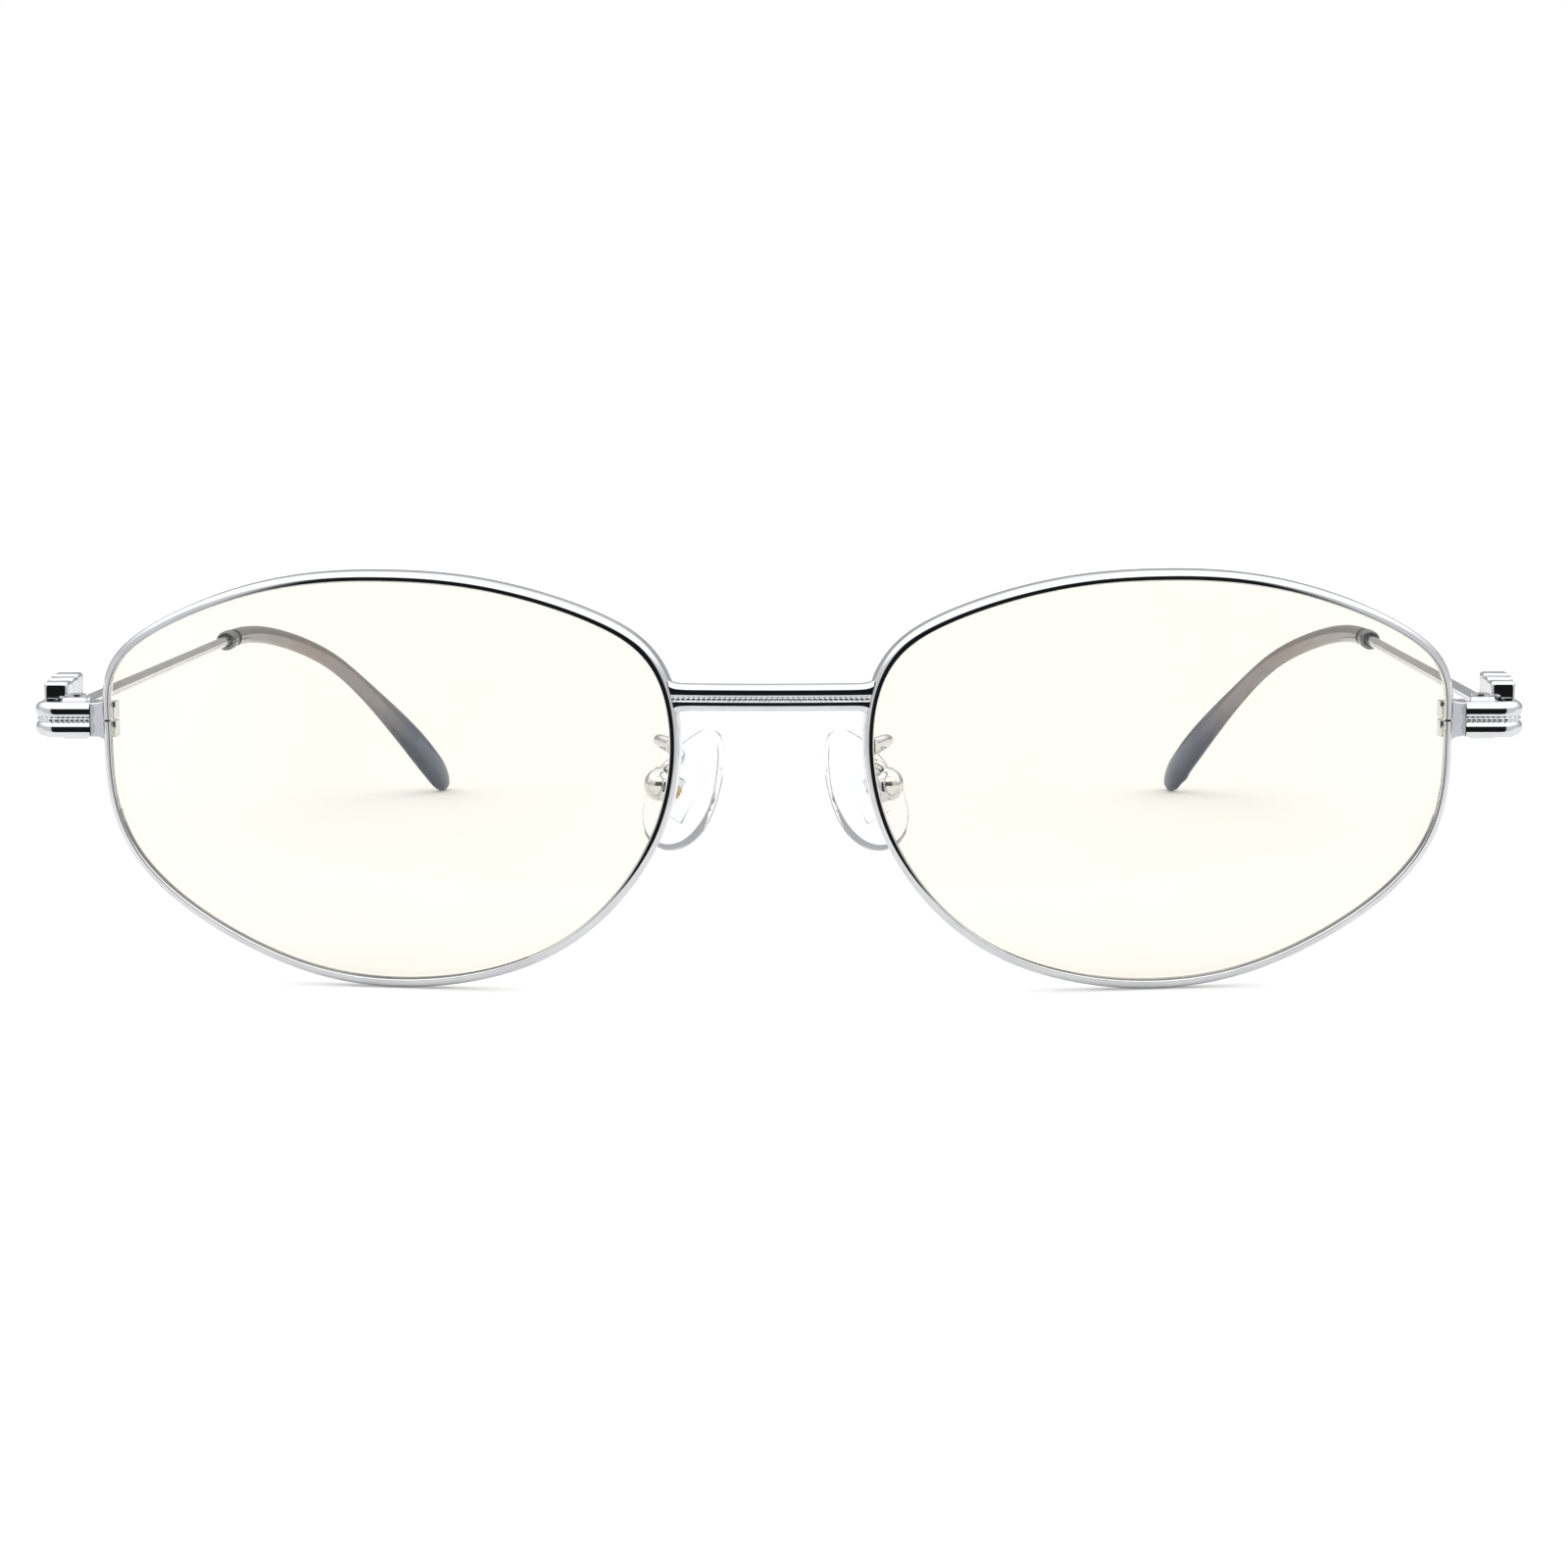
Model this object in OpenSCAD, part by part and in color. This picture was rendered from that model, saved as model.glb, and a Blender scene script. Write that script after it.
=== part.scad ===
// Metal full-rim eyeglasses with wide oval lenses, a double-reeded bridge and
// end pieces, wire temples with moulded tips, and rocking nose pads.
// Millimetres, +Z up. The glasses stand open on a table: the rim bottoms and the
// temple tips touch z = 0, the lenses face -Y and the wearer is on the +Y side.
// Right-hand (+X) pieces are modelled; left-hand pieces are their mirror images.

/* [Lenses and rims] */
// Width of a lens outline, at the middle of the rim wall
lens_w = 53; // [52:0.5:54]
// Distance between the two lens centres
lens_pitch = 70.6; // [70:0.2:71.4]
// Radius of the lens front curve
base_radius = 125; // [115:5:140]
// Thickness of a lens
lens_thickness = 1.8; // [1.6:0.1:2]
// Rim wall, seen from the front
rim_wall = 0.85; // [0.8:0.05:0.95]
// Rim depth, front to back
rim_depth = 1.7; // [1.6:0.1:1.9]
// Lean of the front: its top is nearer -Y than its bottom, in degrees
front_lean = 7; // [6:1:9]
// Turn of each lens towards its temple, in degrees
face_form = 8.5; // [7:0.5:9]

/* [Bridge] */
// Length of the bridge bar
bridge_length = 18.4; // [18:0.2:18.8]
// Height of the bridge above the lens centres
bridge_rise = 8.3; // [7.5:0.1:9]
// Radius of each of its two reeds
bridge_reed_r = 0.62; // [0.55:0.01:0.66]
// Radius of its forward bow
bridge_bow_r = 60; // [50:5:80]

/* [End pieces and hinges] */
// Half of the overall width, at the outer faces of the end pieces
half_width = 68; // [67.6:0.1:68.4]
// Height of the hinge above the lens centres, along the lens
hinge_rise = 4.5; // [4:0.1:5]
// Radius of each of the two reeds of an end piece
reed_r = 0.8; // [0.74:0.02:0.82]
// Radius of the hinge barrel
barrel_r = 1.1; // [1:0.05:1.15]
// Radius of the hinge screw
hinge_screw_r = 0.57; // [0.5:0.01:0.6]

/* [Temples] */
// Length of the stepped block behind the hinge
block_length = 6.5; // [5.5:0.5:8]
// Height of the block at its front step
block_h = 5.2; // [4.8:0.1:5.6]
// Radius of the temple wire
wire_r = 0.6; // [0.5:0.02:0.65]
// Half-width of the flat end of a temple tip
paddle_half_h = 2.05; // [1.8:0.05:2.3]
// Half-thickness of a temple tip
tip_half_t = 1; // [0.9:0.05:1.1]

/* [Nose pads] */
// Length of a nose pad
pad_length = 12; // [11:0.5:13]
// Width of a nose pad where it is widest
pad_width = 8.6; // [8:0.2:9]
// Outward slope of a pad, seen from the front, in degrees
pad_splay = 27; // [24:1:30]
// Turn of a pad, seen from above, in degrees
pad_turn = 42; // [38:1:46]
// Radius of the pad arm wire
arm_r = 0.5; // [0.4:0.02:0.55]

/* [Hidden] */

$fn = 48;
ball_fn = 360;          // facets of the large lens balls
solder_gap = 0.02;      // gap between two pieces that are soldered together
fit_gap = 0.04;         // gap between a lens and its groove
eps = 0.05;             // overlap between shapes of one piece

// Lens outline: control points of a closed cubic B-spline for a 53 mm lens,
// as [towards the temple, up] from the lens centre.
design_lens_w = 53;
outline_ctrl = [
    [26.2, 4.6], [27, 11.1], [11.3, 18.3], [-1.3, 19.1], [-10.3, 18.5], [-20.3, 15.5],
    [-26.8, 11], [-26.9, -3.6], [-16.4, -16.9], [0.8, -19.8], [12.7, -17], [27, -8.2]
];
outline_steps = 10;     // outline points per control point

// Groove for the lens edge, as depths behind the rim's front face
groove_front = 0.5;
groove_back = 1.15;
groove_depth = 0.36;
lens_proud = 0.05;      // how far the lens stands in front of the rim
split_w = 0.2;          // saw cut through the rim at the closing blocks

// Where the middle of the model's depth lies behind the lens fronts
mid_depth = 68.878;

// ---- Curves -------------------------------------------------------------

function unit(v) = v / norm(v);

function spline_point(a, b, c, d, t) =
    (pow(1 - t, 3) * a + (3 * pow(t, 3) - 6 * t * t + 4) * b
    + (-3 * pow(t, 3) + 3 * t * t + 3 * t + 1) * c + pow(t, 3) * d) / 6;

function spline_slope(a, b, c, d, t) =
    (-pow(1 - t, 2) * a + (3 * t * t - 4 * t) * b
    + (-3 * t * t + 2 * t + 1) * c + t * t * d) / 2;

// An open B-spline that starts and ends at its first and last control points
function padded(c) = let (n = len(c) - 1)
    concat([2 * c[0] - c[1]], c, [2 * c[n] - c[n - 1]]);

function open_spline(ctrl, steps) = let (c = padded(ctrl), n = len(c) - 3)
    [for (i = [0 : n - 1], k = [0 : (i == n - 1 ? steps : steps - 1)])
        [spline_point(c[i], c[i + 1], c[i + 2], c[i + 3], k / steps),
         unit(spline_slope(c[i], c[i + 1], c[i + 2], c[i + 3], k / steps))]];

// The lens outline, moved outwards by off
function outline(off) = let (c = outline_ctrl * (lens_w / design_lens_w), n = len(c))
    [for (i = [0 : n - 1], k = [0 : outline_steps - 1])
        let (a = c[(i + n - 1) % n], b = c[i], d = c[(i + 1) % n], e = c[(i + 2) % n],
             t = k / outline_steps, s = unit(spline_slope(a, b, d, e, t)))
            spline_point(a, b, d, e, t) + off * [s[1], -s[0]]];

// ---- Places on the leaning, wrapped front --------------------------------

// How far the lens front lies behind its middle at a distance of u, v
function sag(u, v) = base_radius - sqrt(pow(base_radius, 2) - u * u - v * v);

// A point of the right lens, [towards the temple, back, up], in the front's frame
function lens_to_front(p) = [
    lens_pitch / 2 + p[0] * cos(face_form) - p[1] * sin(face_form),
    p[0] * sin(face_form) + p[1] * cos(face_form),
    p[2]];

// A point of the front's frame, leaned
function lean(p) = [
    p[0],
    p[1] * cos(front_lean) - p[2] * sin(front_lean),
    p[1] * sin(front_lean) + p[2] * cos(front_lean)];

// Height of the lens centres that puts the rim bottoms on the table
lens_z = -min([for (p = outline(rim_wall / 2))
    lean(lens_to_front([p[0], sag(p[0], p[1]), p[1]]))[2]]);

function on_lens(u, v, depth) =
    lean(lens_to_front([u, sag(u, v) + depth, v])) + [0, 0, lens_z];

rim_half_w = max([for (p = outline(rim_wall / 2)) p[0]]);
rim_side = on_lens(rim_half_w, hinge_rise, 0);
hinge_z = rim_side[2];

// ---- End piece and hinge dimensions ---------------------------------------

end_y = round(100 * rim_side[1]) / 100;  // front face of the end piece
reed_pitch = 2 * reed_r + 0.04;          // between the middles of the two reeds
end_h = reed_pitch + 2 * reed_r;
corner_r = 1.6;                          // bend of the end piece, at the reed's middle
plate_end_x = rim_side[0] + 1.1;         // where the weld plate meets the reeds
return_y = end_y + 3.9;                  // rear face of the end piece
leg_x = half_width - reed_r;             // middle of the leg that runs back
hinge_x = leg_x - reed_r - barrel_r - 1;
hinge_y = end_y + 3.3;
knuckle_h = 1.14;                        // temple knuckle, in the middle
knuckle_gap = 0.05;
barrel_h = 3.8;                          // whole barrel
screw_play = 0.05;                       // running clearance of the temple knuckle
block_y = return_y + 0.1;                // front face of the temple block
block_in_x = hinge_x + barrel_r;         // inner face of the temple block
block_w = half_width - 0.3 - block_in_x;
block_z = hinge_z + 0.5;                 // middle of the temple block's height
close_y = end_y + 2 * reed_r + 0.06;     // closing blocks lie behind the end piece
close_x = rim_side[0] + 0.35;            // closing screw
close_screw_y = close_y + 0.84;
close_h = 1.5;                           // height of one closing block
closing_screw_r = 0.38;
closing_head_r = 0.6;

// ---- Temple path ------------------------------------------------------------

// Centre line of the right temple as [half distance, back, share of hinge height]
wire_start = [block_in_x + block_w / 2, block_y + block_length + 4, hinge_z];
collar_at = [65.2, 88, hinge_z];
tip_ctrl = [
    [65.1, 91, 1], [64.9, 95, 1], [63.6, 101, 0.985], [61.1, 107, 0.93],
    [57.6, 113, 0.83], [54.9, 119, 0.68], [52.2, 125, 0.51], [49.7, 131, 0.335],
    [47.9, 136, 0.185], [47, 140.2, 0.09]
];
tip_steps = 4;
tip_last = tip_steps * (len(tip_ctrl) - 1);

// The centre line, with its drop below the hinge's height multiplied by k
function tip_line(k) = open_spline([for (p = tip_ctrl)
    [p[0], p[1], hinge_z * (1 - (1 - p[2]) * k)]], tip_steps);

// Half-height of the tip's section along it: a slim sleeve, then the flat end
function flare(s) = s < 0.5 ? 0 : s < 0.85 ? pow(sin((s - 0.5) / 0.35 * 90), 2) : 1;
function end_round(s) = s < 0.9 ? 1 : sqrt(max(0.02, 1 - pow((s - 0.9) / 0.1, 2)));
function tip_h(s) = (tip_half_t + (paddle_half_h - tip_half_t) * flare(s)) * end_round(s);
function tip_t(s) = tip_half_t * (1 - 0.12 * flare(s)) * (0.35 + 0.65 * end_round(s));

// One ring across a path: half-sizes a (sideways) and b (up), n corners
function ring(at, a, b, ref, n) = let (side = unit(cross(at[1], ref)), up = cross(side, at[1]))
    [for (k = [0 : n - 1]) at[0] + a * cos(360 * k / n) * side + b * sin(360 * k / n) * up];

tip_sides = 12;

function tip_rings(line) = [for (i = [0 : tip_last])
    ring(line[i], tip_t(i / tip_last), tip_h(i / tip_last), [0, 0, 1], tip_sides)];

// The drop is scaled, in two steps, so that the tip touches the table
function tip_low(k) = min([for (r = tip_rings(tip_line(k)), p = r) p[2]]);
drop_first = hinge_z / (hinge_z - tip_low(1));
drop_scale = drop_first * hinge_z / (hinge_z - tip_low(drop_first));
tip_path = tip_line(drop_scale);
core_last = tip_last - 8;                // the core wire stops short of the flat end

// ---- Nose pad places ----------------------------------------------------------

pad_at = [8.2, 7.6, lens_z - 1.4];
pad_half_t = 1.05;                       // half-thickness of a pad
box_gap = 0.55;                          // pad to box
box_in_x = pad_half_t + box_gap;         // open face of the box
box_d = 2;                               // box depth, away from the pad
box_w = 2.4;
box_h = 2.4;
dome_r = 1.55;                           // dome on the box's outer end
dome_x = box_in_x + box_d - 0.5;         // middle of the dome's sphere
dome_cut = 0.2;                          // how far past its middle the sphere is cut flat
pad_pin_x = box_in_x + 0.8;              // pivot screw, across the pad
pad_screw_r = 0.36;
tab_t = 0.8;                             // thickness of the insert's tab
tab_half_h = 0.72;

// A point of the pad's frame [away from the nose, back, up] in the model's frame
function pad_to_model(p) = let (
    x = p[0] * cos(pad_turn) + p[1] * sin(pad_turn),
    y = -p[0] * sin(pad_turn) + p[1] * cos(pad_turn))
    pad_at + [x * cos(pad_splay) - p[2] * sin(pad_splay), y,
              x * sin(pad_splay) + p[2] * cos(pad_splay)];

dome_at = pad_to_model([dome_x, 0, 0]);
arm_from = on_lens(-rim_half_w + rim_wall / 2 + 0.35, 3.7, rim_depth + 0.12);
arm_in = dome_at + (dome_r + solder_gap) * unit([-0.35, -0.15, 1]);
arm_path = open_spline([
    arm_from, arm_from + [0.1, 0.9, 0.1], [10.2, 2.9, lens_z + 4.1], [10.5, 4.5, lens_z + 3.8],
    [9.6, 5.6, lens_z + 3.1], [8.5, 5.3, lens_z + 2.5], [8.4, 4.9, lens_z + 1.8],
    arm_in + 0.4 * unit([-0.35, -0.15, 1]), arm_in], 3);

// ---- Building blocks --------------------------------------------------------------

// Puts every piece where the model's depth is centred on y = 0
module seat() translate([0, -mid_depth, 0]) children();

module front_frame() translate([0, 0, lens_z]) rotate([front_lean, 0, 0]) children();

module lens_frame()
    front_frame() translate([lens_pitch / 2, 0, 0]) rotate([0, 0, face_form]) children();

module pad_frame()
    translate(pad_at) rotate([0, -pad_splay, 0]) rotate([0, 0, -pad_turn]) children();

module left() mirror([1, 0, 0]) children();

// Everything inside the outline moved outwards by off, through the whole front
module lens_prism(off)
    rotate([90, 0, 0]) translate([0, 0, -9]) linear_extrude(12) polygon(outline(off));

// The ball whose surface lies depth behind the rim's front face
module lens_ball(depth)
    translate([0, base_radius, 0]) sphere(r = base_radius - depth, $fn = ball_fn);

// The space of a rim and its lens, with a gap all round
module rim_space(gap) lens_frame() difference() {
    intersection() {
        lens_prism(rim_wall / 2 + gap);
        lens_ball(-lens_proud - gap);
    }
    lens_ball(max(rim_depth, lens_thickness - lens_proud) + gap);
}

// A closed skin over rings of equal corner counts
module skin(rings) {
    n = len(rings[0]);
    m = len(rings);
    polyhedron(
        points = [for (r = rings, p = r) p],
        faces = concat(
            [for (k = [1 : n - 2]) [0, k + 1, k]],
            [for (i = [0 : m - 2], k = [0 : n - 1]) [i * n + k, i * n + (k + 1) % n, (i + 1) * n + k]],
            [for (i = [0 : m - 2], k = [0 : n - 1])
                [i * n + (k + 1) % n, (i + 1) * n + (k + 1) % n, (i + 1) * n + k]],
            [for (k = [1 : n - 2]) [(m - 1) * n, (m - 1) * n + k, (m - 1) * n + k + 1]]));
}

// Two half-round reeds with a fine bead between them, on a flat back
module reed_profile(r, pitch, bead) {
    for (side = [-1, 1]) translate([0, side * pitch / 2]) circle(r);
    translate([r * 0.55, 0]) circle(bead);
    translate([-r, -pitch / 2 - r]) square([r, pitch + 2 * r]);
    translate([-r, -pitch / 2]) square([r * 1.3, pitch]);
}

// ---- Front ---------------------------------------------------------------------------

module rim() color("silver") seat() lens_frame() difference() {
    intersection() {
        lens_prism(rim_wall / 2);
        lens_ball(0);
    }
    lens_ball(rim_depth);
    lens_prism(-rim_wall / 2);
    difference() {
        intersection() {
            lens_prism(groove_depth - rim_wall / 2);
            lens_ball(groove_front);
        }
        lens_ball(groove_back);
    }
    translate([rim_half_w - 3, -1, hinge_rise - split_w / 2]) cube([5, 8, split_w]);
}

module lens() color([0.96, 0.97, 0.92, 0.35]) seat() lens_frame() {
    difference() {
        intersection() {
            lens_prism(-rim_wall / 2 - fit_gap);
            lens_ball(-lens_proud);
        }
        lens_ball(lens_thickness - lens_proud);
    }
    difference() {
        intersection() {
            lens_prism(groove_depth - rim_wall / 2 - fit_gap);
            lens_ball(groove_front + fit_gap);
        }
        lens_ball(groove_back - fit_gap);
    }
}

bridge_pitch = 2 * bridge_reed_r - 0.04;
bridge_half_angle = asin(bridge_length / 2 / bridge_bow_r);

module bridge() color("silver") seat() difference() {
    front_frame() translate([0, bridge_bow_r - 0.99, bridge_rise])
        rotate([0, 0, -90 - bridge_half_angle])
            rotate_extrude(angle = 2 * bridge_half_angle) translate([bridge_bow_r, 0]) {
                reed_profile(bridge_reed_r, bridge_pitch, 0.2);
                translate([-1, -bridge_pitch / 2]) square([1, bridge_pitch]);
            }
    rim_space(solder_gap);
    left() rim_space(solder_gap);
}

// One half of the rim's lock, above or below the saw cut
module closing_block(up) color("silver") seat() difference() {
    translate([0, 0, hinge_z]) mirror([0, 0, up ? 0 : 1]) translate([0, 0, split_w / 2]) {
        translate([rim_side[0] - 0.4, end_y + 0.98, 0]) cube([1.47, 1, close_h]);
        translate([rim_side[0] - 1.3, close_y, 0]) cube([2.63, 1.62, close_h]);
    }
    rim_space(solder_gap);
    translate([close_x, close_screw_y, hinge_z - 3])
        cylinder(r = closing_screw_r + (up ? 0.02 : 0.06), h = 6);
    if (!up) translate([close_x, close_screw_y, hinge_z - 3])
        cylinder(r = closing_head_r + 0.06, h = 3 - split_w / 2 - close_h + 0.5);
}

module closing_screw() color("gainsboro") seat() translate([close_x, close_screw_y, hinge_z]) {
    difference() {
        translate([0, 0, -split_w / 2 - close_h - 0.1]) cylinder(r = closing_head_r, h = 0.56);
        translate([-1, -0.09, -split_w / 2 - close_h - 0.2]) cube([2, 0.18, 0.3]);
    }
    translate([0, 0, -split_w / 2 - close_h + 0.4]) cylinder(r = closing_screw_r, h = 2.6);
}

module end_piece() color("silver") seat() difference() {
    union() {
        translate([leg_x - corner_r, end_y + reed_r, hinge_z]) rotate([90, 0, -90])
            linear_extrude(leg_x - corner_r - plate_end_x) end_profile();
        translate([leg_x - corner_r, end_y + reed_r + corner_r, hinge_z]) rotate([0, 0, -90])
            rotate_extrude(angle = 90) translate([corner_r, 0]) end_profile();
        translate([leg_x, return_y, hinge_z]) rotate([90, 0, 0])
            linear_extrude(return_y - end_y - reed_r - corner_r) end_profile();
        translate([rim_side[0] - 1, end_y + 0.1, hinge_z - end_h / 2 + 0.06])
            cube([plate_end_x - rim_side[0] + 1.3, 0.85, end_h - 0.12]);
    }
    rim_space(solder_gap);
}

module end_profile() reed_profile(reed_r, reed_pitch, 0.26);

// The hinge screw's axis
module hinge_axis() translate([hinge_x, hinge_y, hinge_z]) children();

module hinge_front() color("silver") seat() difference() {
    base_x = hinge_x - barrel_r;
    base_y = end_y + 2 * reed_r + solder_gap;
    union() {
        translate([base_x, base_y, hinge_z - end_h / 2])
            cube([leg_x - corner_r - base_x, 0.55, end_h]);
        for (side = [0, 1]) hinge_axis() mirror([0, 0, side])
            translate([0, 0, knuckle_h / 2 + knuckle_gap]) {
                h = (barrel_h - knuckle_h) / 2 - knuckle_gap;
                cylinder(r = barrel_r, h = h);
                translate([-barrel_r, base_y + 0.3 - hinge_y, 0])
                    cube([2 * barrel_r, hinge_y - base_y - 0.3, h]);
            }
    }
    hinge_axis() translate([0, 0, -3]) cylinder(r = hinge_screw_r + 0.03, h = 6);
    hinge_axis() translate([0, 0, barrel_h / 2 - 0.3]) cylinder(r = 0.88, h = 2);
}

module hinge_screw() color("gainsboro") seat() hinge_axis() {
    translate([0, 0, -barrel_h / 2]) cylinder(r = hinge_screw_r, h = barrel_h - 0.2);
    difference() {
        translate([0, 0, barrel_h / 2 - 0.28]) cylinder(r = 0.83, h = 0.5);
        translate([-1, -0.1, barrel_h / 2 - 0.02]) cube([2, 0.2, 0.5]);
    }
}

// ---- Temple ----------------------------------------------------------------------------

module hinge_temple() color("silver") seat() hinge_axis() difference() {
    union() {
        translate([0, 0, -knuckle_h / 2]) cylinder(r = barrel_r, h = knuckle_h);
        translate([0.2, 0, -knuckle_h / 2]) cube([barrel_r - 0.2 - solder_gap, 2, knuckle_h]);
        translate([0.3, 1.45, -1.3]) cube([barrel_r - 0.3 - solder_gap, 3.4, 2.6]);
    }
    translate([0, 0, -2]) cylinder(r = hinge_screw_r + screw_play, h = 4);
}

module temple_block() color("silver") seat() {
    steps = 3;
    step_l = block_length / steps;
    for (i = [0 : steps - 1]) {
        grow = 0.15 * i;
        translate([block_in_x, block_y + i * step_l, block_z - block_h / 2 - grow])
            cube([block_w + grow, step_l + (i < steps - 1 ? eps : 0), block_h + 2 * grow]);
    }
    translate([wire_start[0], block_y + block_length - eps, hinge_z]) rotate([-90, 0, 0])
        cylinder(r1 = block_w / 2 - 0.05, r2 = wire_r + 0.05, h = 4 + eps);
}

module temple_wire() color("silver") seat() {
    wire_sides = 10;
    start = wire_start + [0, solder_gap, 0];
    dir = unit(collar_at - start);
    straight = [for (s = [0, 0.5, 1]) [start + s * (collar_at - start), dir]];
    sleeve = [for (i = [2 : core_last]) tip_path[i]];
    skin([for (at = concat(straight, sleeve)) ring(at, wire_r, wire_r, [0, 0, 1], wire_sides)]);
}

module temple_collar() color([0.25, 0.26, 0.28]) seat() {
    dir = unit(collar_at - wire_start);
    translate(collar_at - 1.2 * dir) rotate([-90, 0, atan2(-dir[0], dir[1])]) difference() {
        cylinder(r = tip_half_t + 0.1, h = 2.6);
        translate([0, 0, -1]) cylinder(r = wire_r + 0.06, h = 6);
    }
}

module temple_tip() color([0.5, 0.49, 0.5]) seat() {
    bore = [for (i = [core_last + 1 : -1 : 0])
        ring(tip_path[i], wire_r + 0.06, wire_r + 0.06, [0, 0, 1], tip_sides)];
    skin(concat(bore, tip_rings(tip_path)));
}

// ---- Nose pads -------------------------------------------------------------------------

module pad_arm() color("silver") seat()
    skin([for (at = arm_path) ring(at, arm_r, arm_r, [0.5, -1, 0.4], 10)]);

module pad_box() color("silver") seat() pad_frame() difference() {
    union() {
        translate([box_in_x, -box_w / 2, -box_h / 2]) cube([box_d, box_w, box_h]);
        translate([dome_x, 0, 0]) rotate([0, 90, 0]) rotate_extrude() intersection() {
            circle(dome_r);
            translate([0, dome_cut]) square(dome_r);
        }
    }
    translate([box_in_x - 1, -tab_t / 2 - 0.12, -1]) cube([2.55, tab_t + 0.24, 2]);
    translate([pad_pin_x, -3, 0]) rotate([-90, 0, 0]) cylinder(r = pad_screw_r + 0.03, h = 6);
}

module pad_screw() color("peru") seat() pad_frame()
    translate([pad_pin_x, 0, 0]) rotate([-90, 0, 0]) {
        translate([0, 0, -box_w / 2 - 0.1]) cylinder(r = pad_screw_r, h = box_w + 0.09);
        difference() {
            translate([0, 0, -box_w / 2 - 0.36]) cylinder(r = 0.62, h = 0.34);
            translate([-1, -0.08, -box_w / 2 - 0.5]) cube([2, 0.16, 0.28]);
        }
    }

insert_half_t = 0.2;

// The plate moulded into the pad, with its tab
module insert_shape(gap) {
    translate([-insert_half_t - gap, -1.6 - gap, -2.6 - gap])
        cube([2 * (insert_half_t + gap), 3.2 + 2 * gap, 5.2 + 2 * gap]);
    translate([0, -tab_t / 2 - gap, -tab_half_h - gap])
        cube([pad_pin_x, tab_t + 2 * gap, 2 * (tab_half_h + gap)]);
    translate([pad_pin_x, tab_t / 2 + gap, 0]) rotate([90, 0, 0])
        cylinder(r = 0.6, h = tab_t + 2 * gap);
}

module pad_insert() color([0.92, 0.95, 0.97, 0.5]) seat() pad_frame() difference() {
    insert_shape(0);
    translate([pad_pin_x, -3, 0]) rotate([-90, 0, 0]) cylinder(r = pad_screw_r + 0.05, h = 6);
}

// A drop shape, narrow at the top, with softly rounded edges
module nose_pad() color([0.92, 0.95, 0.97, 0.5]) seat() pad_frame() difference() {
    hull() for (p = [[0.5, 0.12], [0.2, 0.36], [-0.2, 0.5], [-0.5, 0.26]], side = [-1, 1])
        translate([0, side * p[1] * (pad_width - 2 * pad_half_t),
                   p[0] * (pad_length - 2 * pad_half_t) + 0.3])
            sphere(r = pad_half_t, $fn = 24);
    insert_shape(solder_gap);
}

// ---- The whole -------------------------------------------------------------------------

left() rim();  // rim_left
rim();  // rim_right
left() lens();  // lens_left
lens();  // lens_right
bridge();
left() closing_block(true);  // closing_block_upper_left
closing_block(true);  // closing_block_upper_right
left() closing_block(false);  // closing_block_lower_left
closing_block(false);  // closing_block_lower_right
left() closing_screw();  // closing_screw_left
closing_screw();  // closing_screw_right
left() end_piece();  // end_piece_left
end_piece();  // end_piece_right
left() hinge_front();  // hinge_front_left
hinge_front();  // hinge_front_right
left() hinge_temple();  // hinge_temple_left
hinge_temple();  // hinge_temple_right
left() hinge_screw();  // hinge_screw_left
hinge_screw();  // hinge_screw_right
left() temple_block();  // temple_block_left
temple_block();  // temple_block_right
left() temple_wire();  // temple_wire_left
temple_wire();  // temple_wire_right
left() temple_collar();  // temple_collar_left
temple_collar();  // temple_collar_right
left() temple_tip();  // temple_tip_left
temple_tip();  // temple_tip_right
left() pad_arm();  // pad_arm_left
pad_arm();  // pad_arm_right
left() pad_box();  // pad_box_left
pad_box();  // pad_box_right
left() pad_screw();  // pad_screw_left
pad_screw();  // pad_screw_right
left() pad_insert();  // pad_insert_left
pad_insert();  // pad_insert_right
left() nose_pad();  // nose_pad_left
nose_pad();  // nose_pad_right
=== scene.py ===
import math

import bmesh
import bpy
import numpy as np
from mathutils import Matrix, Vector


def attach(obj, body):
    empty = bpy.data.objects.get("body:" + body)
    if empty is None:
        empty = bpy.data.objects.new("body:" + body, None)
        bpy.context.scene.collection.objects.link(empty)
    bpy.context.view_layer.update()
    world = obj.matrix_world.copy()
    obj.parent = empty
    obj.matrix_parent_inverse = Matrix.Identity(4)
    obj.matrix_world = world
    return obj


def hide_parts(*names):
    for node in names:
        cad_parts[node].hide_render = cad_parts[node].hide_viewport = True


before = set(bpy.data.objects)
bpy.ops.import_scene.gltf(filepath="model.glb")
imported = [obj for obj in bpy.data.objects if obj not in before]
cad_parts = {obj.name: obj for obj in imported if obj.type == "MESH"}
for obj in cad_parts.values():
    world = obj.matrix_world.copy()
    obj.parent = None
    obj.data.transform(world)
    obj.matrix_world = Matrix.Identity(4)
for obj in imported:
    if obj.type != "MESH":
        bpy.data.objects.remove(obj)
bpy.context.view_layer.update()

MM = 0.001
SIDES = ("right", "left")
TAU = 2 * math.pi

# ---- The frame's dimensions, in millimetres, as in the part ------------------

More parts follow.
